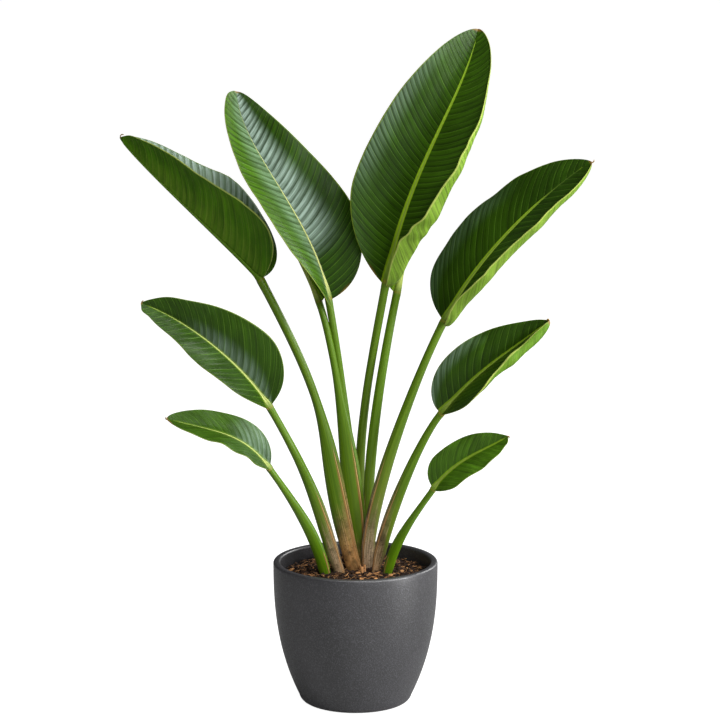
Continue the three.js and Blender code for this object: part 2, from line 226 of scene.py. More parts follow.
# half a blade: widths are in millimetres, angles in degrees, and places along and across it are shares of its size;
# the sheen entry is a painted highlight on the face: how strong it is, how far across it fades (from the edge if
# negative), and where it starts and ends
# tint is a paler green: partly the leaf's own colour, partly painted light on halves that face the lamps
def half(width, widest, below, above, fold, close, leanBase, leanTip, **more):
    return {"width": width, "widest": widest, "below": below, "above": above, "fold": fold, "close": close,
            "leanBase": leanBase, "leanTip": leanTip, "point": 0.6, "curl": 0, "creaseBase": 0.6, "creaseTip": 0.6,
            "wave": 2, "phase": 0, "lap": 0, "ruffle": 0, "blunt": 0, "tint": 0, "bloom": (0, 1, 0, 1), **more}


# the stalk runs from foot to neck and the midrib on to the tip; girth is the radius at the foot, sheath and neck,
# where the sheath is fullest and how slowly it thins; hook is the dry point's length, first turn and further turns;
# dry, dryTop, hem and mauve are how dry the foot is, how far up, how far up its margins are brown, and how grey;
# back is how light the underside is painted: painted light where it faces the lamps, painted shade where it faces
# away; rib is how pale the midrib is, partly its own colour and partly painted light; the pleat value is their
# depth and how strong their painted shade is; and from dim on the rib fades
leaves = {
    "left_upper": {
        "foot": (0, -11), "rise": (-65, -17, 494), "bend": (-29, 0, 480), "neck": (-159, 12, 726),
        "arch": (-384, 58, 932), "tip": (-397, 80, 958), "lead": 0.06, "roll": 78, "twist": 0, "opens": 1,
        "girth": (15.5, 18.5, 7.4, 0.14, 0.5),
        "left": half(104, 0.32, 1.1, 1.16, 66, 0, 0.03, -0.32, point=0.66, blunt=2,
                     bloom=(0.6, 0.45, -0.1, 0.8)),
        "right": half(96, 0.47, 0.85, 0.85, 50, 0, -0.45, 0.45, point=0.87, tint=0.4,
                      bloom=(1.35, 3, 0.12, 1.2)),
        "hook": (9, 62, 24), "dry": 0.9, "dryTop": 0.2, "hem": 0.42, "mauve": 0.0, "tint": 0.1,
        "veins": 14, "slant": 0.4, "back": 0.06, "rib": 0.0, "pleatDepthAndShade": 0.4,
    },
    "left_tall": {
        "foot": (13, 59), "rise": (-1, 52, 378), "bend": (-20, 30, 540), "neck": (-45, 15, 692),
        "arch": (-194, 10, 946), "tip": (-199, 60, 1037), "lead": 0.39, "roll": 36, "twist": -20, "opens": 1,
        "girth": (7, 8, 6.2, 0.2, 0.5),
        "left": half(93, 0.36, 0.38, 1.05, 33, 20, -0.35, 0.3, blunt=3, tint=0.27,
                     bloom=(0.38, 0.6, -0.2, 1.3)),
        "right": half(92, 0.27, 0.42, 1.15, 30, 10, 0.3, 0.1, phase=1, bloom=(1.35, 0.56, 0.15, 1.15)),
        "dry": 0.5, "dryTop": 0.1, "hem": 0.3, "mauve": 0.5, "tint": 0.3,
        "veins": 12, "slant": 0.3, "back": 0.35, "rib": 1, "pleatDepthAndShade": 1,
    },
    "right_tall": {
        "foot": (20, 78), "rise": (-11, 72, 392), "bend": (20, 32, 545), "neck": (51, 20, 719),
        "arch": (182, 5, 1030), "tip": (204, 40, 1143), "lead": 0.45, "roll": -17, "twist": 8, "opens": -1,
        "girth": (7, 8.5, 6.9, 0.2, 0.6),
        "left": half(108, 0.22, 0.55, 2, 35, 15, 0.6, 0, bloom=(0.26, -0.85, 0.15, 0.8)),
        "right": half(110, 0.38, 0.44, 1.2, 28, 0, -0.35, 0, curl=125, creaseBase=0.46, creaseTip=1,
                      lap=0.07, ruffle=2.2, tint=0.1),
        "dim": 0.76, "dry": 0.5, "dryTop": 0.1, "hem": 0.3, "mauve": 0.5, "tint": 0.0,
        "veins": 10.5, "slant": 0.34, "back": 0.95, "rib": 0.25, "pleatDepthAndShade": 1.0,
    },
    "left_back": {
        "foot": (11, 23), "rise": (-1, 20, 350), "bend": (-32, 0, 609), "neck": (-61, 24, 685),
        "arch": (-152, 110, 838), "tip": (-166, 190, 905), "lead": 0.3, "roll": 120, "twist": 0, "opens": 1,
        "girth": (8, 20, 6, 0.22, 0.5),
        "left": half(58, 0.35, 0.6, 1.4, 50, 0, 0.2, 0.2),
        "right": half(58, 0.35, 0.6, 1.4, 50, 0, 0.2, 0.2, phase=1),
        "dry": 0.6, "dryTop": 0.14, "hem": 0.5, "mauve": 0.3, "tint": 0.5,
        "veins": 12, "slant": 0.4, "back": 0.1, "rib": 0.5, "pleatDepthAndShade": 0.6,
    },
    "right_back": {
        "foot": (22, 41), "rise": (12, 42, 369), "bend": (41, 16, 564), "neck": (70, 34, 700),
        "arch": (112, 150, 860), "tip": (135, 230, 935), "lead": 0.3, "roll": -130, "twist": 0, "opens": -1,
        "girth": (8, 9.6, 6.6, 0.2, 0.9),
        "left": half(54, 0.35, 0.6, 1.4, 50, 0, 0.2, 0.2),
        "right": half(54, 0.35, 0.6, 1.4, 50, 0, 0.2, 0.2, phase=1),
        "dry": 0.6, "dryTop": 0.12, "hem": 0.3, "mauve": 0.5, "tint": 0.5,
        "veins": 12, "slant": 0.4, "back": 0.2, "rib": 0.5, "pleatDepthAndShade": 0.6,
    },
    "right_upper": {
        "foot": (19, 6), "rise": (12, 6, 324), "bend": (101, 12, 560), "neck": (148, 20, 652),
        "arch": (296.5, 0, 862), "tip": (390, -20, 929), "lead": 0.31, "roll": -54, "twist": 20, "opens": -1,
        "girth": (12, 13, 6.8, 0.13, 0.75),
        "left": half(86, 0.23, 1.1, 2.14, 12, 0, -0.24, 0.19, point=0.85, ruffle=0.9,
                     bloom=(0.2, -0.75, 0, 0.55)),
        "right": half(81, 0.38, 0.34, 2.3, 14, -4, -0.3, 0.2, curl=95, creaseBase=0.68, creaseTip=0.8,
                      lap=0.05, ruffle=1.6),
        "hook": (8, -30, 22), "dim": 0.6, "dry": 1.0, "dryTop": 0.3, "hem": 0.5, "mauve": 0.85, "tint": 0.0,
        "veins": 16.5, "slant": 0.85, "back": 1.0, "rib": 0.27, "pleatDepthAndShade": 0.6,
    },
    "right_middle": {
        "foot": (33, -26), "rise": (45, -28, 312), "bend": (108, -50, 468), "neck": (142, -62, 511),
        "arch": (252, -80, 615), "tip": (319, -100, 676), "lead": 0.5, "roll": -41, "twist": 12, "opens": -1,
        "girth": (8, 12, 6, 0.13, 0.8),
        "left": half(59, 0.32, 0.66, 2.13, 31, 10, -0.45, -0.17, point=0.79, blunt=1, tint=0.08,
                     bloom=(0.4, -0.8, -0.2, 0.5)),
        "right": half(103, 0.15, 0.95, 2.47, 46.5, -4, 0.39, 0.13, point=0.39, curl=160, creaseBase=1.3,
                      creaseTip=0.77),
        "hook": (5, 60, 30), "dry": 1.0, "dryTop": 0.34, "hem": 0.55, "mauve": 0.6, "tint": 0.2,
        "veins": 16, "slant": 0.75, "back": 0.45, "rib": 0.4, "pleatDepthAndShade": 0.6,
    },
    "right_small": {
        "foot": (53, -30), "rise": (62, -41, 284), "bend": (99, -70, 340), "neck": (129, -85, 387),
        "arch": (212, -105, 456), "tip": (252, -120, 486), "lead": 0.45, "roll": -28, "twist": 6, "opens": -1,
        "girth": (9, 10, 5.2, 0.08, 0.8),
        "left": half(36.6, 0.29, 1, 3.34, 28, 10, -0.45, -0.03, point=0.91, tint=0.4),
        "right": half(38, 0.22, 0.85, 2.64, 27, 10, 0.03, 0.34, point=0.86, phase=1, blunt=3, tint=0.55),
        "hook": (5, 40, -30), "dry": 0.12, "dryTop": 0.1, "hem": 0.22, "mauve": 0.0, "tint": 0.9,
        "veins": 13, "slant": 0.7, "back": 0.6, "rib": 0.42, "pleatDepthAndShade": 0.35,
    },
    "left_middle": {
        "foot": (-26, -24), "rise": (-64, -34, 350), "bend": (-71, -55, 395), "neck": (-142, -68, 523),
        "arch": (-278, -75, 674), "tip": (-353, -85, 702), "lead": 0.3, "roll": 23, "twist": -9, "opens": 1,
        "girth": (11, 13, 6.2, 0.12, 0.85),
        "left": half(51, 0.28, 0.64, 1.65, 25, 15, 0.5, 0.45, point=0.75, wave=3, phase=2.5, ruffle=1.1,
                     blunt=4, tint=0.04),
        "right": half(76.7, 0.31, 1.1, 1.31, 27, 8, -0.26, 0.32, point=0.85, ruffle=1.3, tint=0.04,
                      bloom=(0.42, 0.38, -0.2, 0.6)),
        "hook": (6, 70, 18), "dry": 0.9, "dryTop": 0.3, "hem": 0.55, "mauve": 0.75, "tint": 0.4,
        "veins": 13.5, "slant": 0.6, "back": 0.3, "rib": 0.8, "pleatDepthAndShade": 0.3,
    },
    "left_small": {
        "foot": (-50, -32), "rise": (-62, -44, 299), "bend": (-118, -75, 385), "neck": (-142, -88, 423),
        "arch": (-224, -105, 488.6), "tip": (-311, -120, 514.6), "lead": 0.42, "roll": 44, "twist": 8, "opens": 1,
        "girth": (11, 12, 5.6, 0.06, 0.85),
        "left": half(43.6, 0.29, 0.66, 4, 32, 14, 0.3, -0.45, point=0.35, wave=2.5, phase=2.5, ruffle=0.7,
                     blunt=2,
                     tint=0.2, bloom=(0.05, 2, -0.2, 0.5)),
        "right": half(35.7, 0.34, 1.04, 2.67, 27, 12, -0.45, 0.45, point=0.68, tint=0.25,
                      bloom=(0.6, 1.6, -0.2, 0.4)),
        "hook": (5, 10, 20), "dry": 0.12, "dryTop": 0.1, "hem": 0.2, "mauve": 0.0, "tint": 0.7,
        "veins": 12, "slant": 1.0, "back": 0.4, "rib": 0.8, "pleatDepthAndShade": 0.3,
    },
}

growth = {
    "buried": 38, "flat": 0.12, "turnFrom": 0.45,  # the stalk
    "ribStart": 0.62, "ribEnd": 0.9, "ribFade": 1.3, "neckBlend": 0.12, "sink": 0.35, "dimFade": 0.25,  # the midrib
    "slot": 0.4, "slotEnd": 0.92, "under": 0.4, "ribTurn": 7,  # the blade beside and under the midrib
    "rounding": 0.035, "bluntAt": 0.95, "bluntSpread": 0.045, "rufflePitch": 17, "narrowest": 0.25,  # its outline
    "soft": 0.35, "droop": 24, "level": 0.42, "waves": 3, "thickness": 1.1,  # its form
    "lapAt": 0.17, "lapSpread": 0.1, "lapCurl": 150, "lapWave": 0.17, "lapPitch": 8.5,  # the lap of a rolled edge
    "pleat": 0.03, "frill": 0.35, "frillPitch": 9.5, "buckle": 0.45, "bucklePitch": 37,  # its surface
}
soil = {"edge": 222, "mound": 12, "ripple": 1.5, "inside": 128}


def soilHeight(x, y):  # the soil's surface, in millimetres
    r = np.hypot(x, y) / soil["inside"]
    ripples = np.sin(x * 0.16 + 1.3) * np.cos(y * 0.19) + 0.7 * np.sin((x + y) * 0.29)
    return soil["edge"] + soil["mound"] * (1 - r * r) + soil["ripple"] * ripples * (1 - r ** 8)


def curveAt(points, t):  # places and directions along a curve of four points
    a, b, c, d = (np.array(p, float) for p in points)
    t = np.asarray(t, float)[:, None]
    s = 1 - t
    place = s ** 3 * a + 3 * s * s * t * b + 3 * s * t * t * c + t ** 3 * d
    along = s * s * (b - a) + 2 * s * t * (c - b) + t * t * (d - c)
    return place, along / np.linalg.norm(along, axis=1)[:, None]


def stalkPoints(leaf):
    x, y = leaf["foot"]
    return (x, y, float(soilHeight(x, y))), leaf["rise"], leaf["bend"], leaf["neck"]


def ribPoints(leaf):
    bend, neck, tip = (np.array(leaf[key], float) for key in ("bend", "neck", "tip"))
    out = (neck - bend) / np.linalg.norm(neck - bend)
    return neck, neck + out * np.linalg.norm(tip - neck) * leaf["lead"], leaf["arch"], tip


def facing(along, roll):  # up from the blade's face, and across it
    front = np.array([0, -1.0, 0]) - along * (along @ np.array([0, -1.0, 0]))[:, None]
    front /= np.linalg.norm(front, axis=1)[:, None]
    roll = np.radians(roll)[:, None]
    up = front * np.cos(roll) + np.cross(along, front) * np.sin(roll)
    return up, np.cross(along, up)


def ribWidth(leaf, u):
    neck = leaf["girth"][2]
    slim = mix(growth["ribEnd"], neck * growth["ribStart"], (1 - u) ** growth["ribFade"])
    return slim + neck * (1 - growth["ribStart"]) * (1 - smooth(u / growth["neckBlend"]))


def dimming(leaf, u):  # how far the midrib has faded
    return smooth((u - leaf.get("dim", 1)) / growth["dimFade"])


def reach(side, u):  # how far half a blade goes out from the rib
    low = np.clip(1 - u / side["widest"], 0, 1)
    high = np.clip((u - side["widest"]) / (1 - side["widest"]), 0, 1)
    return side["width"] * (1 - low ** 2) ** side["below"] * (1 - high ** side["above"]) ** side["point"]


def gridSheet(name, columns, rows):  # a flat grid, and the column and row of each of its vertices
    clearSelection()
    bpy.ops.mesh.primitive_grid_add(x_subdivisions=columns, y_subdivisions=rows, size=2, calc_uvs=True)
    piece = bpy.context.object
    piece.name = name
    flat = np.empty(len(piece.data.vertices) * 3)
    piece.data.vertices.foreach_get("co", flat)
    flat = flat.reshape(-1, 3)
    column = np.rint((flat[:, 0] + 1) / 2 * columns).astype(int)
    row = np.rint((flat[:, 1] + 1) / 2 * rows).astype(int)
    return piece, column, row


def placeVertices(piece, places):
    piece.data.vertices.foreach_set("co", (places * mm).ravel())
    piece.data.update()


def keepReading(piece, name, values):
    layer = piece.data.attributes.new(name, "FLOAT", "POINT")
    layer.data.foreach_set("value", np.asarray(values, np.float32).ravel())


def keepLeafReadings(piece, leaf, *names):  # what is the same all over the piece
    for name in names:
        keepReading(piece, name, np.full(len(piece.data.vertices), leaf[name]))


# a blade is a fine sheet, folded along the rib, with a pleat between each pair of veins
def halfBlade(leaf, side, sign, u, rib, along, up, across, columns, seed):
    chance = random.Random(seed)
    shifts = [chance.uniform(0, wholeTurn) for _ in range(5)]
    length = np.linalg.norm(np.diff(rib, axis=0), axis=1)
    run = np.concatenate([[0], np.cumsum(length)])
    near = growth["rounding"] * np.sin(math.pi * u)
    total = (reach(side, u - near) + 2 * reach(side, u) + reach(side, u + near)) / 4
    atTip = np.exp(-((u - growth["bluntAt"]) / growth["bluntSpread"]) ** 2)
    total = total + side["blunt"] * atTip * smooth((1 - u) / 0.04)
    ruffle = np.sin(run / growth["rufflePitch"] + 1.1 * np.sin(run / 41))
    total = total + side["ruffle"] * ruffle * smooth(u * 9) * smooth(5 - 5 * u)
    inner = (ribWidth(leaf, u) + growth["slot"]) * (1 - smooth((u - growth["slotEnd"]) / 0.06))
    step = np.maximum(total - inner, growth["narrowest"]) / columns
    fold = side["fold"] + side["close"] * (1 - u) ** 4
    lap = np.exp(-((u - growth["lapAt"]) / growth["lapSpread"]) ** 2)
    crease = mix(side["creaseBase"], side["creaseTip"], np.sqrt(u)) - side["lap"] * lap
    wander = np.sin(run / growth["lapPitch"] + 2.2 * np.sin(run / 24 + 1))
    crease = crease + growth["lapWave"] * side["lap"] * wander * smooth(u * 5) * (1 - u)
    curl = side["curl"] + (growth["lapCurl"] * side["lap"] if side["curl"] else 0) * lap
    lean = mix(side["leanBase"], side["leanTip"], u ** 0.6)
    droop = growth["droop"] * (0.5 if side["curl"] else 1) * np.sin(math.pi * u) ** 0.5

    def angleAt(v):
        bow = droop * (growth["level"] - v) - growth["ribTurn"] * math.exp(-v / 0.06)
        return np.radians(fold + bow + curl * smooth((v - crease) / growth["soft"] + 0.5))[:, None]

    def outAt(v):
        return across * sign * np.cos(angleAt(v)) + up * np.sin(angleAt(v))

    wave = side["wave"] * np.sin(2 * math.pi * growth["waves"] * u + side["phase"]) * np.sin(math.pi * u)
    frill = np.sin(run / growth["frillPitch"] + shifts[0]) + 0.7 * np.sin(run / 5.3 + shifts[1])
    frill = frill * np.sin(math.pi * u)
    edge = rib + outAt(0) * inner[:, None]
    every = leaf["veins"]  # millimetres from vein to vein
    amount, fades, start, end = side["bloom"]
    made = {"place": [], "vein": [], "across": [], "bloom": [], "flank": []}
    for j in range(columns + 1):
        v = j / columns
        normal = up * np.cos(angleAt(v)) - across * sign * np.sin(angleAt(v))
        out = inner + step * j
        slant = leaf["slant"] + 0.4 * u ** 3
        vein = (run + lean * step * j - slant * out - 0.27 * out * out / np.maximum(total, 5)) / every
        vein = vein + 0.16 * np.sin(run / 47 + shifts[4]) + 0.09 * np.sin(run / 19 + shifts[2])
        soften = smooth(v * 6) * (1 - smooth((v - 0.86) / 0.14)) * smooth(u * 12) * (1 - smooth((u - 0.9) / 0.1))
        soften = soften * (1 - 0.7 * smooth((v - crease + 0.2) / 0.3) * (curl > 0))
        # the painted sheen's strength across and along the half; the pleats are deeper where it lies
        inward = smooth((v + 0.7 * fades) / 0.35) if fades < 0 else 1 - smooth((v - 0.3 * fades) / (0.9 * fades))
        bloom = amount * inward * smooth((u - start) / 0.15)
        bloom = bloom * (1 - smooth((u - end + 0.15) / 0.3))
        pleat = growth["pleat"] * leaf["pleatDepthAndShade"] * (0.5 + bloom) * every
        lift = pleat * np.cos(2 * math.pi * (vein - 0.5)) * soften
        lift = lift + wave * v * v + growth["frill"] * frill * v ** 5
        buckle = growth["buckle"] * np.sin(run / growth["bucklePitch"] + 3 * v + shifts[2])
        lift = lift + buckle * np.sin(3.1 * v + shifts[3]) * soften
        made["place"].append(edge + normal * lift[:, None])
        made["vein"].append(vein + 40 + sign * 0.37)
        made["across"].append(np.full_like(u, v))
        made["bloom"].append(bloom)
        made["flank"].append(step * j / ribWidth(leaf, u) + dimming(leaf, u))
        edge = edge + (outAt((j + 0.5) / columns) + along * lean[:, None]) * step[:, None]
    return made


def addBlade(name, leaf, materials, rows=260, columns=26):
    even = np.linspace(0, 1, rows + 1)
    u = mix(even, (1 - np.cos(math.pi * even)) / 2, 0.6)
    rib, along = curveAt(ribPoints(leaf), u)
    up, across = facing(along, leaf["roll"] + leaf["twist"] * (u - 0.3))
    seed = sum(map(ord, name))
    left = halfBlade(leaf, leaf["left"], -1, u, rib, along, up, across, columns, seed)
    right = halfBlade(leaf, leaf["right"], 1, u, rib, along, up, across, columns, seed + 1)
    middle = {"place": rib - up * growth["under"], "vein": left["vein"][0], "across": np.zeros_like(u),
              "bloom": left["bloom"][0], "flank": np.zeros_like(u)}
    whole = {key: np.stack(left[key][::-1] + [middle[key]] + right[key], 1) for key in middle}
    piece, column, row = gridSheet(f"leaf_{name}", 2 * columns + 2, rows)
    placeVertices(piece, whole["place"][row, column])
    for key in ("vein", "across", "bloom", "flank"):
        keepReading(piece, key, whole[key][row, column])
    keepReading(piece, "along", u[row])
    keepReading(piece, "tint", np.where(column <= columns, leaf["left"]["tint"], leaf["right"]["tint"]))
    keepLeafReadings(piece, leaf, "back", "rib", "pleatDepthAndShade")
    for material in materials:  # the face, the back and the edge
        piece.data.materials.append(material)
    applyModifier(piece, "SOLIDIFY", thickness=growth["thickness"] * mm, offset=0, material_offset=1,
                  material_offset_rim=2, use_even_offset=False)
    finishPiece(piece, [], "leaf", f"blade_{name}")


# a stalk with its midrib is one channelled rod, which swells into its sheath at the foot
channel = {"depth": 0.05, "sheathDepth": 0.34, "ribDepth": 0.42, "spread": 0.42, "sheathSpread": 0.62,
           "step": 0.06, "stepAt": 1.0, "lip": 0.03, "lipAt": 1.1, "knee": 0.05, "ribbing": 0.008, "ridges": 11}


def stalkWidth(leaf, t):
    foot, sheath, neck, top, taper = leaf["girth"]
    return np.where(t < top, mix(foot, sheath, smooth(t / top)), mix(sheath, neck, smooth((t - top) / taper)))


def flattened(leaf, deep):  # the width that goes with a depth
    return np.minimum(deep, leaf["girth"][2] + growth["flat"] * deep)


def addStalk(name, leaf, material, around=48, stalkRows=120, ribRows=100):
    t = np.linspace(0, 1, stalkRows, endpoint=False)
    stalk, stalkAlong = curveAt(stalkPoints(leaf), t)
    sunk = stalk[0] - stalkAlong[0] * growth["buried"]
    even = np.linspace(0, 1, ribRows)
    u = 0.985 * mix(even, (1 - np.cos(math.pi * even)) / 2, 0.5)
    rib, ribAlong = curveAt(ribPoints(leaf), u)
    turn = smooth((t - growth["turnFrom"]) / (1 - growth["turnFrom"]))
    stalkRoll = mix(90 * leaf["opens"], leaf["roll"] - 0.3 * leaf["twist"], turn)
    ribRoll = leaf["roll"] + leaf["twist"] * (u - 0.3)
    centre = np.vstack([sunk[None], stalk, rib])
    along = np.vstack([stalkAlong[:1], stalkAlong, ribAlong])
    up, across = facing(along, np.concatenate([stalkRoll[:1], stalkRoll, ribRoll]))
    deep = stalkWidth(leaf, t)
    wide = flattened(leaf, deep)
    slim = ribWidth(leaf, u)
    slim = np.where(u > 0.9, mix(slim, 0.45, smooth((u - 0.9) / 0.085)), slim)
    deep = np.concatenate([deep[:1], deep, slim])
    wide = np.concatenate([wide[:1], wide, slim])
    sunkBy = np.concatenate([np.zeros(len(t) + 1), growth["sink"] * slim * smooth(u / growth["neckBlend"])])
    centre = centre - up * sunkBy[:, None]
    piece, column, row = gridSheet(f"stem_{name}", around, len(centre) - 1)
    angle = math.pi * (2 * column / around - 1)  # 0 in the middle of the channel
    height = np.concatenate([[-0.1], t, 1 + u])[row]  # below 1 on the stalk, above it on the rib
    sheath = 1 - smooth((height - 0.02) / 0.42)
    onRib = smooth((height - 0.99) / 0.09)
    depth = mix(mix(channel["depth"], channel["sheathDepth"], sheath), channel["ribDepth"], onRib)
    spread = mix(mix(channel["spread"], channel["sheathSpread"], sheath), channel["spread"], onRib)
    section = 1 - depth * np.exp(-(angle / spread) ** 2)
    section = section - channel["step"] * sheath * smooth((channel["stepAt"] - np.abs(angle)) / 0.12)
    lip = channel["lip"] * sheath * np.exp(-((np.abs(angle) - channel["lipAt"]) / 0.2) ** 2)
    swell = 1 + channel["knee"] * np.exp(-((height - 1) / 0.02) ** 2)
    ribbing = 1 + channel["ribbing"] * np.sin(angle * channel["ridges"]) * (1 - onRib)
    grow = (section + lip) * swell * ribbing
    out = (up[row] * (deep[row] * np.cos(angle) * grow)[:, None]
           + across[row] * (wide[row] * np.sin(angle) * (1 + lip) * swell * ribbing)[:, None])
    placeVertices(piece, centre[row] + out)
    chance = random.Random(len(name) + 7)
    streaks = sum(math.exp(-k / 3) * np.sin(angle * (3 + 2 * k) + chance.uniform(0, wholeTurn)) for k in range(5))
    dryTo = 1.5 * leaf["dryTop"] * (1 + 0.25 * streaks / 2 + 0.6 * np.cos(angle))
    keepReading(piece, "dry", leaf["dry"] * (1 - smooth((height - 0.02) / np.maximum(dryTo, 0.03))))
    keepReading(piece, "margin", 1 - smooth((height - leaf["hem"] * 0.5) / (leaf["hem"] * 0.5)))
    keepReading(piece, "onRib", onRib)
    keepReading(piece, "dim", dimming(leaf, height - 1))
    keepReading(piece, "groove", np.exp(-(angle / (spread * 1.5)) ** 4))
    keepReading(piece, "height", height)
    keepLeafReadings(piece, leaf, "mauve", "rib", "tint")
    closeSeams(piece)
    finishPiece(piece, [material], "stalk", f"stalk_{name}")


# the tones of a leaf's two sides, and how strongly the veins and the painted sheen show; the back's dark and light
# tones are painted shade and painted light
faceLook = {
    "ground": (tone(27, 52, 2), tone(37, 65, 5)), "paleGreen": tone(84, 128, 24), "vein": tone(104, 144, 48),
    "veinShare": 0.5, "fineShare": 0.1, "bloom": tone(168, 190, 178), "bloomShare": 0.8,
    "edge": tone(120, 140, 44), "edgeFrom": 0.98,
}
backLook = {
    "dark": (tone(50, 96, 0), tone(66, 112, 2)), "light": (tone(104, 138, 40), tone(122, 154, 54)),
    "vein": (tone(124, 146, 58), tone(148, 172, 84)), "veinShare": 0.6, "fineShare": 0.12,
    "bloom": tone(116, 126, 52), "bloomShare": 0.5, "edge": tone(180, 192, 100), "edgeFrom": 0.968,
}
# the valley tone is painted shade for the pleats' valleys
leafMarks = {"valleyShade": tone(18, 38, 10), "flank": tone(150, 186, 34), "foot": tone(150, 108, 48),
             "tip": tone(126, 98, 42)}


def leafColour(ground, look, veinTone, pleatShadeShare=1.0):  # the ground with the pleats' painted shade, a painted sheen, veins, rib and edge
    vein, across, along = (reading(name) for name in ("vein", "across", "along"))
    beside = maths("PINGPONG", vein, 0.5)  # 0 on a vein, 0.5 halfway to the next
    rise = maths("FRACT", maths("ADD", vein, -0.02))  # 0 just past a vein, 1 just before the next
    strip = maths("FLOOR", vein)
    band = put("ShaderNodeTexWhiteNoise", {"W": strip}, noise_dimensions="1D").outputs["Value"]
    lane = put("ShaderNodeCombineXYZ", {0: vein, 1: across}).outputs[0]
    streak = cloud(1, 4, 0.6, where=lane, stretch=(2.7, 1.1, 1))
    brush = cloud(1, 3, 0.6, where=lane, stretch=(10, 1.7, 1))
    line = ranged(beside, 0.005, 0.055, 1.0, 0.0)
    fine = ranged(maths("PINGPONG", times(vein, 7.0), 0.5), 0.0, 0.28, 1.0, 0.0)
    # how strongly the pleats' painted shade shows, scaled by the leaf's pleat depth
    pleatDepthAndShade = times(reading("pleatDepthAndShade"), pleatShadeShare)
    shade = blended(band, evenGrey(0.85), evenGrey(1.1))
    # painted shade across each pleat: dark just past a vein, lighter towards the next, as light falls on an arched
    # pleat
    shade = toned(shade, ranged(rise, 0.0, 0.6), 0.6, 1.26, pleatDepthAndShade)
    shade = toned(shade, ranged(streak, 0.3, 0.7), 0.72, 1.3)
    shade = toned(shade, ranged(brush, 0.3, 0.7), 0.84, 1.16)
    colour = blended(1.0, ground, shade, "MULTIPLY")
    # a painted sheen: a pale bluish highlight near the rib, brighter on each pleat's crest
    bloom = times(reading("bloom"), look["bloomShare"])
    crest = ranged(timesPlus(band, 0.1, rise), 0.1, 0.9, 0.4, 1.15)
    crest = times(crest, ranged(timesPlus(brush, 0.5, streak), 0.5, 1.0, 0.3, 1.05))
    colour = blended(times(bloom, crest), colour, look["bloom"])
    # painted shade in the vein valleys, stronger where the painted sheen lies
    valleyShade = times(ranged(beside, 0.03, 0.13, 1.0, 0.0), timesPlus(bloom, 0.3, 0.2))
    valleyShade = times(valleyShade, ranged(streak, 0.35, 0.65, 1.1, 0.3))
    valleyShade = times(valleyShade, timesPlus(pleatDepthAndShade, 0.8, 0.2))
    colour = blended(valleyShade, colour, leafMarks["valleyShade"])
    colour = blended(times(fine, look["fineShare"]), colour, veinTone)
    clear = timesPlus(bloom, -0.7 * look["veinShare"], look["veinShare"])
    clear = times(clear, ranged(streak, 0.35, 0.65, 0.35, 1.25))
    colour = blended(times(line, clear), colour, veinTone)
    rib = reading("rib")
    flank = times(ranged(reading("flank"), 0.2, 0.55, 1.0, 0.0), maths("SUBTRACT", 1.0, rib))
    flank = times(flank, ranged(rib, 0.0, 0.12))
    colour = blended(flank, colour, leafMarks["flank"])
    wear = cloud(60, 5, 0.6)
    edge = ranged(timesPlus(wear, 0.014, across), look["edgeFrom"], look["edgeFrom"] + 0.018)
    colour = blended(times(edge, 0.7), colour, look["edge"])
    foot = times(ranged(along, 0.004, 0.03, 1.0, 0.0), ranged(across, 0.55, 0.95))
    colour = blended(times(foot, 0.6), colour, leafMarks["foot"])
    tip = ranged(timesPlus(wear, 0.012, along), 0.99, 1.004)
    colour = blended(tip, colour, leafMarks["tip"])
    arch = maths("POWER", times(beside, 2.0), 0.6)
    return {"colour": colour, "fine": fine, "arch": arch, "streak": streak, "brush": brush}


def leafFaceMaterial():
    material = newMaterial("leafFace", Specular_IOR_Level=0.17)
    patches = ranged(cloud(11, 3, 0.5), 0.35, 0.7)
    ground = blended(patches, *faceLook["ground"])
    # a paler green on some halves: partly the leaf's own colour, partly painted light on halves that face the lamps
    ground = blended(reading("tint"), ground, faceLook["paleGreen"])
    parts = leafColour(ground, faceLook, faceLook["vein"])
    height = timesPlus(parts["fine"], -0.1, parts["arch"])
    height = timesPlus(parts["streak"], 0.9, height)
    height = timesPlus(parts["brush"], 0.3, height)
    height = timesPlus(cloud(500, 2, 0.5), 0.04, height)
    roughness = ranged(parts["brush"], 0.3, 0.7, 0.26, 0.38)
    return painted(material, Base_Color=parts["colour"], Roughness=roughness, Normal=bumps(height, 0.4, 0.0008))


def leafBackMaterial():
    material = newMaterial("leafBack", Specular_IOR_Level=0.08)
    patches = ranged(cloud(16, 4, 0.55), 0.3, 0.7)
    # painted light and shade on the underside: light on undersides that face the lamps, dark on those that face
    # away
    pale = reading("back")
    dark, light = (blended(patches, *backLook[key]) for key in ("dark", "light"))
    ground = blended(pale, dark, light)
    veinTone = blended(pale, *backLook["vein"])
    parts = leafColour(ground, backLook, veinTone, timesPlus(pale, 0.6, 0.15))
    height = timesPlus(parts["arch"], -0.7, timesPlus(parts["fine"], 0.15, parts["streak"]))
    roughness = ranged(cloud(40, 4, 0.6), 0.3, 0.75, 0.42, 0.54)
    return painted(material, Base_Color=parts["colour"], Roughness=roughness, Normal=bumps(height, 0.5, 0.0008))


edgeTones = {"rim": (tone(156, 166, 70), tone(106, 130, 38)), "tip": tone(112, 72, 34), "foot": tone(142, 98, 46)}


def leafEdgeMaterial():
    material = newMaterial("leafEdge", Roughness=0.5)
    along = reading("along")
    colour = blended(cloud(120, 4, 0.6), *edgeTones["rim"])
    tip = ranged(timesPlus(cloud(60), 0.01, along), 0.985, 0.998)
    colour = blended(tip, colour, edgeTones["tip"])
    foot = ranged(along, 0.004, 0.03, 0.8, 0.0)
    return painted(material, Base_Color=blended(foot, colour, edgeTones["foot"]))


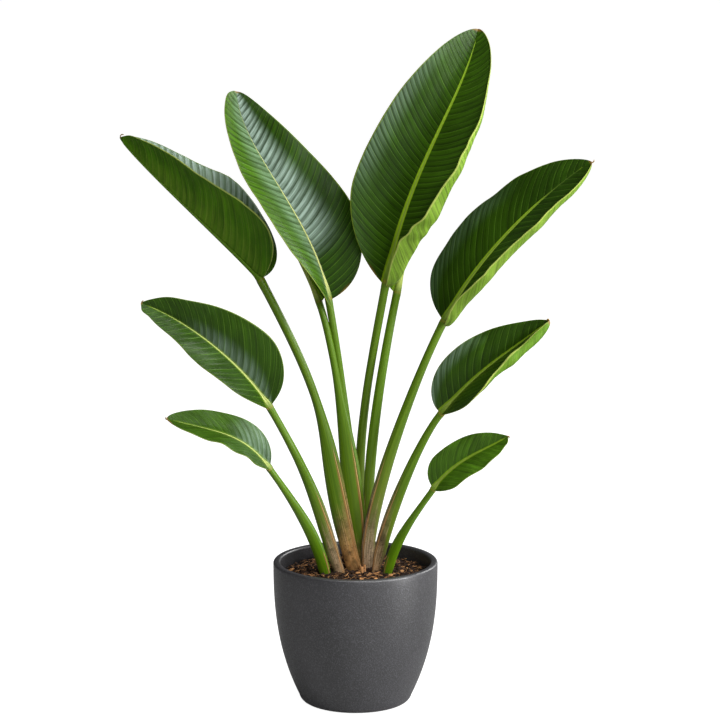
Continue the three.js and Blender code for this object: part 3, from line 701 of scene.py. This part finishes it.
stemTones = {
    "green": (tone(60, 90, 4), tone(88, 118, 10)), "upper": tone(98, 130, 32), "olive": tone(104, 98, 42),
    "paleGreen": tone(90, 134, 14), "rib": (tone(150, 186, 34), tone(206, 208, 132)), "plainRib": tone(76, 112, 8),
    "groove": tone(80, 110, 10), "dimRib": tone(48, 78, 10), "brownHusk": (tone(92, 66, 32), tone(198, 156, 98)),
    "greyHusk": (tone(66, 55, 40), tone(170, 150, 124)), "rustyFoot": tone(186, 130, 72),
    "tan": tone(210, 176, 126), "blotch": tone(66, 54, 28), "wrinkle": tone(52, 36, 20),
    "margin": tone(150, 104, 58), "hem": tone(206, 164, 104), "hemShadow": tone(56, 34, 18),
    "joint": tone(150, 112, 48), "tip": tone(112, 72, 34),
}
# how far each band runs from the channel's middle (the one just inside the hem is a painted shadow), and how far up
# the joint with the blade is
sheathEdge = {"margin": 0.172, "hem": 0.156, "hemShadow": 0.143, "joint": 1.006}


def stemMaterial():
    material = newMaterial("stem", Specular_IOR_Level=0.28)
    place = put("ShaderNodeTexCoord").outputs["UV"]
    split = put("ShaderNodeSeparateXYZ", {0: place})
    aside = maths("ABSOLUTE", maths("SUBTRACT", split.outputs[0], 0.5))  # 0 in the middle of the channel
    streak = cloud(1, 5, 0.6, where=place, stretch=(40, 4, 1))
    fibre = cloud(1, 6, 0.7, where=place, stretch=(150, 9, 1))
    blotch = cloud(26, 4, 0.6)
    height, mauve, margin, pale = (reading(name) for name in ("height", "mauve", "margin", "rib"))
    # the green stalk
    colour = blended(ranged(streak, 0.3, 0.7), *stemTones["green"])
    colour = blended(ranged(height, 0.4, 1.0, 0.0, 0.3), colour, stemTones["upper"])
    olive = times(mauve, ranged(height, 0.15, 0.6, 0.6, 0.0))
    colour = blended(olive, colour, stemTones["olive"])
    colour = blended(times(reading("tint"), 0.4), colour, stemTones["paleGreen"])
    # the midrib, paler on some leaves: partly its own colour, partly painted light on leaves that face the lamps
    rib = blended(pale, *stemTones["rib"])
    rib = blended(ranged(pale, 0.0, 0.12), stemTones["plainRib"], rib)
    groove = times(reading("groove"), timesPlus(pale, -0.6, 0.8))
    rib = blended(groove, rib, stemTones["groove"])
    rib = blended(times(reading("dim"), 0.85), rib, stemTones["dimRib"])
    colour = blended(reading("onRib"), colour, rib)
    # the dry husk
    threads = ranged(fibre, 0.36, 0.64)
    brown, grey = (blended(threads, *stemTones[key]) for key in ("brownHusk", "greyHusk"))
    foot = ranged(timesPlus(streak, 0.06, height), 0.05, 0.12, 0.7, 0.0)
    husk = blended(mauve, blended(foot, brown, stemTones["rustyFoot"]), grey)
    husk = blended(ranged(streak, 0.52, 0.68, 0.0, 0.5), husk, stemTones["tan"])
    husk = blended(ranged(blotch, 0.45, 0.62, 0.0, 0.75), husk, stemTones["blotch"])
    wrinkle = ranged(cloud(1, 4, 0.6, where=place, stretch=(14, 170, 1)), 0.54, 0.66, 0.0, 0.6)
    husk = blended(wrinkle, husk, stemTones["wrinkle"])
    dry = reading("dry")
    for pattern, share in ((fibre, 0.8), (streak, 0.9), (blotch, 0.7)):
        dry = strayed(dry, pattern, share)
    husked = ranged(dry, 0.15, 0.95)
    colour = blended(husked, colour, husk)
    # the sheath's margins with a painted shadow just inside the hem, and the joint where the stalk meets the blade
    wobble = strayed(aside, blotch, 0.012)
    strip = times(atBand(wobble, sheathEdge["margin"], 0.008, 0.024), margin)
    frayed = times(strip, ranged(fibre, 0.25, 0.65, 0.2, 0.9))
    colour = blended(frayed, colour, stemTones["margin"])
    hem = times(atBand(wobble, sheathEdge["hem"], 0.003, 0.009), ranged(margin, 0.0, 0.35))
    colour = blended(times(hem, 0.95), colour, stemTones["hem"])
    # a painted shadow: a dark line just inside the pale hem
    under = atBand(wobble, sheathEdge["hemShadow"], 0.002, 0.009, 0.75)
    under = times(under, ranged(margin, 0.0, 0.5))
    colour = blended(under, colour, stemTones["hemShadow"])
    joint = atBand(height, sheathEdge["joint"], 0.001, 0.012, 0.5)
    joint = times(joint, ranged(fibre, 0.4, 0.6, 0.3, 1.0))
    colour = blended(joint, colour, stemTones["joint"])
    colour = blended(ranged(height, 1.97, 1.985), colour, stemTones["tip"])
    # gloss and relief
    dull = maths("MAXIMUM", husked, strip)
    roughness = timesPlus(dull, 0.35, ranged(streak, 0.3, 0.7, 0.34, 0.44))
    roughness = timesPlus(reading("onRib"), 0.25, roughness)
    lift = times(fibre, maths("ADD", dull, 0.02))
    lift = maths("SUBTRACT", lift, times(wrinkle, husked))
    lift = timesPlus(streak, 0.05, lift)
    lift = timesPlus(hem, 0.8, maths("SUBTRACT", lift, under))
    return painted(material, Base_Color=colour, Roughness=roughness, Normal=bumps(lift, 0.7, 0.0012))


pot = {"height": 245, "rim": 140, "wall": 12, "lip": 4, "floor": 14, "base": 80, "heel": 97, "heelHeight": 13,
       "swell": 2.6, "sides": 192, "heelRings": 8, "wallRings": 24, "lipRings": 6, "innerRings": 12}
potTones = {"ground": (tone(33, 32, 34), tone(43, 42, 45)), "grain": tone(92, 93, 98), "fine": tone(124, 125, 131),
            "pits": tone(30, 29, 31)}


def potRadius(z):
    down = (pot["height"] - z) / (pot["height"] - pot["heelHeight"])
    return pot["rim"] - (pot["rim"] - pot["heel"]) * max(down, 0) ** pot["swell"]


def potRings():  # radius and height of each ring, from the middle of the base round to the middle of the floor
    rings = []
    for i in range(pot["heelRings"] + 1):
        t = i / pot["heelRings"]
        s = 1 - t
        rings.append((s * s * pot["base"] + 2 * s * t * (pot["heel"] - 3) + t * t * pot["heel"],
                      s * t + t * t * pot["heelHeight"]))
    top = pot["height"] - pot["lip"]
    for i in range(1, pot["wallRings"]):
        z = mix(pot["heelHeight"], top, i / pot["wallRings"])
        rings.append((potRadius(z), z))
    outerLip, innerLip = pot["rim"] - pot["lip"], pot["rim"] - pot["wall"] + pot["lip"]
    for centre, start in ((outerLip, 0), (innerLip, 90)):
        for i in range(pot["lipRings"] + 1):
            angle = math.radians(start + 90 / pot["lipRings"] * i)
            rings.append((centre + pot["lip"] * math.cos(angle), top + pot["lip"] * math.sin(angle)))
    for i in range(1, pot["innerRings"] + 1):
        z = mix(top, pot["floor"], i / pot["innerRings"])
        rings.append((potRadius(z) - pot["wall"], z))
    return rings


def addPot(material):
    clearSelection()
    rings = potRings()
    radius, z = rings[0]
    bpy.ops.mesh.primitive_circle_add(vertices=pot["sides"], radius=radius * mm, fill_type="NGON",
                                      location=(0, 0, z * mm))
    piece = bpy.context.object
    piece.name = "planter"
    bpy.ops.object.mode_set(mode="EDIT")
    bpy.ops.mesh.select_all(action="SELECT")
    for nextRadius, nextZ in rings[1:]:
        extrudeRing((nextZ - z) * mm, nextRadius / radius, nextZ * mm)
        radius, z = nextRadius, nextZ
    closeTurned()
    finishPiece(piece, [material], "pot", "pot")
    pick(piece)
    bpy.ops.object.shade_smooth_by_angle(angle=math.radians(40))


def potMaterial():
    material = newMaterial("stoneware", Specular_IOR_Level=1.0)
    grain = cloud(400, 3, 0.6)
    fine = cloud(900, 2, 0.5)
    place = put("ShaderNodeTexCoord").outputs["Object"]
    pits = put("ShaderNodeTexVoronoi", {"Vector": place, "Scale": 460.0}).outputs["Distance"]
    colour = blended(ranged(cloud(9, 5, 0.6), 0.3, 0.7), *potTones["ground"])
    colour = blended(ranged(grain, 0.5, 0.66, 0.0, 0.4), colour, potTones["grain"])
    colour = blended(ranged(fine, 0.58, 0.7, 0.0, 0.35), colour, potTones["fine"])
    colour = blended(ranged(pits, 0.0, 0.25, 0.45, 0.0), colour, potTones["pits"])
    roughness = ranged(grain, 0.35, 0.7, 0.46, 0.34)
    rough = bumps(timesPlus(pits, 0.6, grain), 0.35, 0.0007)
    return painted(material, Base_Color=colour, Roughness=roughness, Normal=rough)


bedding = {
    "seed": 5, "rings": 60, "sides": 180, "radius": 127.0, "under": 26, "lower": 1.2,  # the bed
    "reach": 122, "wall": 125, "turnAt": 120, "keepOff": 0.85, "keepWide": 1.35,  # where litter may lie
    "chips": 1250, "chipShapes": 6, "chipSizes": (1.2, 1.6, 2.1, 2.8, 3.8), "chipFlat": 0.55,
    "strands": 260, "strandLength": (7, 22), "strandWidth": (0.18, 0.34), "strandPoints": 7,
}
soilTones = {"mix": (tone(22, 13, 8), tone(58, 37, 23)), "barkMiddle": 0.69,
             "bark": (tone(24, 14, 8), tone(56, 35, 21), tone(196, 142, 90))}


def addSoilBed(material):  # a rough bed
    clearSelection()
    bpy.ops.mesh.primitive_circle_add(vertices=bedding["sides"], radius=bedding["radius"] * mm, fill_type="NGON",
                                      location=(0, 0, (soil["edge"] - bedding["under"]) * mm))
    piece = bpy.context.object
    piece.name = "soil_bed"
    bpy.ops.object.mode_set(mode="EDIT")
    bpy.ops.mesh.select_all(action="SELECT")
    bpy.ops.mesh.extrude_region_move(TRANSFORM_OT_translate={"value": (0, 0, bedding["under"] * mm)})
    for i in range(bedding["rings"]):
        before, after = (bedding["rings"] - i), (bedding["rings"] - i - 0.999)
        extrudeRing(0, after / before, 0)
    closeTurned()
    top = soil["edge"] * mm - 1e-4
    for vertex in piece.data.vertices:
        x, y, z = vertex.co
        if z > top:
            crumbs = 1.6 * noise.noise(Vector((x, y, 0)) * 130) + 1.1 * noise.noise(Vector((x, y, 3)) * 330)
            inward = 1 - min(math.hypot(x, y) / (bedding["radius"] * mm), 1) ** 12
            vertex.co.z = (float(soilHeight(x / mm, y / mm)) + crumbs * inward - bedding["lower"]) * mm
    finishPiece(piece, [material], "soil", "soil")


def freeSpot(chance, margin):  # a place on the soil that no stalk stands on
    while True:
        angle, out = chance.uniform(0, 2 * math.pi), bedding["reach"] * math.sqrt(chance.random())
        x, y = out * math.cos(angle), out * math.sin(angle)
        if all(math.hypot((x - leaf["foot"][0]) / bedding["keepWide"], y - leaf["foot"][1])
               > leaf["girth"][0] * bedding["keepOff"] + margin for leaf in leaves.values()):
            return x, y


def chipShapes(chance):  # a few bark chips to copy
    shapes = []
    for _ in range(bedding["chipShapes"]):
        clearSelection()
        bpy.ops.mesh.primitive_ico_sphere_add(subdivisions=1, radius=1)
        chip = bpy.context.object
        for vertex in chip.data.vertices:
            vertex.co *= chance.uniform(0.75, 1.15)
            vertex.co.z = max(-0.5, min(0.5, vertex.co.z)) * chance.uniform(0.7, 1.1)
        shapes.append(chip)
    return shapes


def scatterChips(material):
    chance = random.Random(bedding["seed"])
    shapes = chipShapes(chance)
    chips = []
    for _ in range(bedding["chips"]):
        x, y = freeSpot(chance, 2)
        size = chance.choice(bedding["chipSizes"]) * chance.uniform(0.8, 1.2)
        chip = chance.choice(shapes).copy()
        chip.data = chip.data.copy()
        turn = Matrix.Rotation(chance.uniform(0, wholeTurn), 4, "Z")
        turn = turn @ Matrix.Rotation(chance.uniform(-0.5, 0.5), 4, "X")
        turn = turn @ Matrix.Rotation(chance.uniform(-0.45, 0.45), 4, "Y")
        z = float(soilHeight(x, y)) + chance.uniform(-0.6, 0.8)
        if math.hypot(x, y) + size * 1.5 > bedding["wall"]:
            x, y = x * 0.95, y * 0.95
        scale = (size * chance.uniform(1.1, 2.1) * mm, size * mm, size * bedding["chipFlat"] * mm, 1)
        chip.matrix_world = Matrix.Translation((x * mm, y * mm, z * mm)) @ turn @ Matrix.Diagonal(scale)
        keepReading(chip, "shade", np.full(len(chip.data.vertices), chance.random()))
        bpy.context.collection.objects.link(chip)
        chips.append(chip)
    for shape in shapes:
        bpy.data.objects.remove(shape)
    piece = joinAll(chips, "bark_chips")
    finishPiece(piece, [material], "soil")
    bpy.ops.object.shade_flat()


def addStrand(name, path, width, shade):  # a thin three-sided thread along some points, in millimetres
    path = np.array(path, float)
    last = len(path) - 1
    piece, column, row = gridSheet(name, 4, last)
    along = np.gradient(path, axis=0)
    along /= np.linalg.norm(along, axis=1)[:, None]
    side = np.cross(along, (0.31, 0.2, 0.93))  # any direction that no strand follows
    side /= np.linalg.norm(side, axis=1)[:, None]
    other = np.cross(along, side)
    angle = column * math.pi / 2
    slim = width * (1 - 0.7 * np.abs(2 * row / last - 1) ** 3)
    out = side[row] * (np.cos(angle) * slim)[:, None] + other[row] * (np.sin(angle) * slim)[:, None]
    placeVertices(piece, path[row] + out)
    keepReading(piece, "shade", np.full(len(row), shade))
    return piece


def joinStrands(strands, name, material, slot):
    piece = joinAll(strands, name)
    closeSeams(piece)
    finishPiece(piece, [material], slot)


def scatterStrands(material):
    chance = random.Random(bedding["seed"] + 1)
    points = bedding["strandPoints"]
    strands = []
    for _ in range(bedding["strands"]):
        x, y = freeSpot(chance, 5)
        x, y = x * 0.93, y * 0.93
        turn, bend = chance.uniform(0, wholeTurn), chance.uniform(-0.16, 0.16)
        length = chance.uniform(*bedding["strandLength"])
        path = []
        for k in range(points):
            path.append((x, y, float(soilHeight(x, y)) + 0.9 + chance.uniform(0, 0.8) + 1.6 * math.sin(k * 0.52)))
            x, y = x + math.cos(turn) * length / (points - 1), y + math.sin(turn) * length / (points - 1)
            turn += bend * k
            if math.hypot(x, y) > bedding["turnAt"]:
                turn += 1.2
        width = chance.uniform(*bedding["strandWidth"])
        strands.append(addStrand("strand", path, width, chance.uniform(0.5, 1.3)))
    joinStrands(strands, "coir_strands", material, "soil")


def soilMaterial():
    material = newMaterial("pottingMix", Specular_IOR_Level=0.25, Roughness=0.9)
    crumb = cloud(420, 5, 0.7)
    colour = blended(ranged(crumb, 0.35, 0.7), *soilTones["mix"])
    return painted(material, Base_Color=colour, Normal=bumps(crumb, 0.9, 0.002))


def barkMaterial():
    material = newMaterial("bark", Specular_IOR_Level=0.3, Roughness=0.82)
    grain = cloud(500, 5, 0.7)
    shade = maths("ADD", reading("shade"), times(maths("SUBTRACT", grain, 0.5), 0.5))
    ramp = put("ShaderNodeValToRGB", {0: shade})
    ends = ramp.color_ramp.elements
    ends[0].color, ends[1].color = soilTones["bark"][0], soilTones["bark"][2]
    ends.new(soilTones["barkMiddle"]).color = soilTones["bark"][1]
    return painted(material, Base_Color=ramp.outputs[0], Normal=bumps(grain, 0.6, 0.001))


# the torn stump of an old sheath
stump = {"place": (12, -30), "radius": 6.2, "bottom": 216, "top": 245.5, "around": 28, "rows": 16,
         "tornFrom": 0.93, "tornDepth": 3.5}


def addStump(material):
    piece, column, row = gridSheet("old_sheath", stump["around"], stump["rows"])
    angle = 2 * math.pi * column / stump["around"]
    share = row / stump["rows"]
    ragged = 2.6 * np.sin(angle * 2 + 0.6) + 1.6 * np.sin(angle * 5 + 2) - 3.4
    height = stump["bottom"] + (stump["top"] - stump["bottom"] + ragged * share ** 2) * np.minimum(share * 1.15, 1)
    radius = stump["radius"] * mix(0.95, 0.8, share) * (1 + 0.06 * np.sin(angle * 7 + share * 3))
    inside = share > stump["tornFrom"]  # the last rows turn down into the torn top
    radius = np.where(inside, radius * 0.55, radius)
    height = np.where(inside, height - stump["tornDepth"], height)
    x = stump["place"][0] + radius * np.cos(angle)
    y = stump["place"][1] + radius * np.sin(angle)
    placeVertices(piece, np.stack([x, y, height], 1))
    keepReading(piece, "shade", 0.92 + 0.2 * np.sin(angle * 3 + 1) * share)
    closeSeams(piece, outward=True)
    finishPiece(piece, [material], "dry_sheath", "old_sheath_stub")


# the loose fibres on the margins of the dry sheaths
fibres = {"seed": 23, "driest": 0.7, "each": 12, "points": 7, "width": (0.14, 0.24)}


def addSheathFibres(material):
    chance = random.Random(fibres["seed"])
    points = fibres["points"]
    strands = []
    for leaf in leaves.values():
        for _ in range(fibres["each"] if leaf["dry"] >= fibres["driest"] else 0):
            start = chance.uniform(0.02, leaf["dryTop"] * 0.8)
            t = np.linspace(start, start + chance.uniform(0.02, 0.05), points)
            place, along = curveAt(stalkPoints(leaf), t)
            up, across = facing(along, np.full(points, 90.0 * leaf["opens"]))
            angle = chance.choice((-1, 1)) * chance.uniform(0.85, 1.15)
            deep = stalkWidth(leaf, t)
            wide = flattened(leaf, deep)
            off = 0.96 + chance.uniform(0.01, 0.1) * np.linspace(0, 1, points) ** 2
            section = 1.06 - channel["sheathDepth"] * math.exp(-(angle / channel["sheathSpread"]) ** 2)
            path = place + up * (deep * math.cos(angle) * section * off)[:, None]
            path = path + across * (wide * math.sin(angle) * off * 1.05)[:, None]
            width = chance.uniform(*fibres["width"])
            strands.append(addStrand("fibre", path, width, chance.uniform(0.7, 1.1)))
    joinStrands(strands, "sheath_fibres", material, "dry_sheath")


def addTipHooks(material, points=8, width=1.1):  # the dry curled point of a leaf
    hooks = []
    for leaf in leaves.values():
        if "hook" in leaf:
            length, turn, curl = leaf["hook"]
            side = 1 if leaf["tip"][0] > 0 else -1
            place = np.array(leaf["tip"], float) - (side * 1.5, 0, 1)
            path = []
            for k in range(points):
                path.append(tuple(place))
                angle = math.radians(turn + curl * k)
                place = place + np.array([side * math.cos(angle), -0.15, math.sin(angle)]) * length / 5.5
            hooks.append(addStrand("hook", path, width, 1.0))
    joinStrands(hooks, "tip_hooks", material, "leaf")


# the floor looks near white to the camera, but sends little light up to the plant
stage = {"size": 160, "height": -0.0005, "grey": 0.36, "seenGlow": 0.93, "glow": 0.04}


def addStage():
    clearSelection()
    bpy.ops.mesh.primitive_plane_add(size=stage["size"], location=(0, 0, stage["height"]))
    floor = bpy.context.object
    floor.name = "floor"
    material = newMaterial("paleFloor", Roughness=0.9, Specular_IOR_Level=0.1, Base_Color=evenGrey(stage["grey"]),
                           Emission_Color=evenGrey(1))
    seen = put("ShaderNodeLightPath").outputs["Is Camera Ray"]
    glow = timesPlus(seen, stage["seenGlow"], stage["glow"])
    floor.data.materials.append(painted(material, Emission_Strength=glow))


# direction in degrees: round to the right of the camera, then up; glow is the box's own brightness
softboxes = {
    "key": {"turn": 66, "rise": 30, "away": 4.2, "size": (1.6, 2.0), "glow": 15},
    "front": {"turn": 26, "rise": 20, "away": 4.6, "size": (1.4, 1.6), "glow": 7},
    "side": {"turn": 70, "rise": 0, "away": 3.4, "size": (1.0, 1.15), "glow": 15},
    "back": {"turn": 135, "rise": 22, "away": 4.0, "size": (1.6, 2.0), "glow": 8},
    "fill": {"turn": 10, "rise": 10, "away": 4.6, "size": (2.4, 2.2), "glow": 2.5, "matt": True},
    "top": {"turn": 10, "rise": 68, "away": 3.3, "size": (2.2, 1.8), "glow": 5},
}
studio = {"aim": (0, 0, 0.62), "world": 0.1}


def addLights():
    world = bpy.context.scene.world or bpy.data.worlds.new("studio")
    bpy.context.scene.world = world
    world.use_nodes = True
    world.node_tree.nodes["Background"].inputs["Color"].default_value = evenGrey(1)
    world.node_tree.nodes["Background"].inputs["Strength"].default_value = studio["world"]
    for name, box in softboxes.items():
        turn, rise = math.radians(box["turn"]), math.radians(box["rise"])
        toward = Vector((math.cos(rise) * math.sin(turn), -math.cos(rise) * math.cos(turn), math.sin(rise)))
        bpy.ops.object.light_add(type="AREA", location=Vector(studio["aim"]) + toward * box["away"])
        lamp = bpy.context.object
        lamp.name = name
        lamp.rotation_euler = toward.to_track_quat("Z", "Y").to_euler()
        lamp.data.shape = "RECTANGLE"
        lamp.data.size, lamp.data.size_y = box["size"]
        lamp.data.energy = box["glow"] * math.pi * box["size"][0] * box["size"][1]
        lamp.visible_camera = False
        lamp.visible_glossy = not box.get("matt", False)


addCamera()
addStage()
addLights()
bpy.context.scene.view_settings.view_transform = "Standard"
print("stage, camera and lights ready")

addPot(potMaterial())
print("planter ready")

barkLook = barkMaterial()
addSoilBed(soilMaterial())
scatterChips(barkLook)
scatterStrands(barkLook)
print("soil ready")

stemLook = stemMaterial()
leafLooks = [leafFaceMaterial(), leafBackMaterial(), leafEdgeMaterial()]
for leafName, leafSizes in leaves.items():
    addStalk(leafName, leafSizes, stemLook)
    addBlade(leafName, leafSizes, leafLooks)
    print("leaf ready:", leafName)

addStump(barkLook)
addSheathFibres(barkLook)
addTipHooks(leafLooks[2])
print("sheath trim ready")
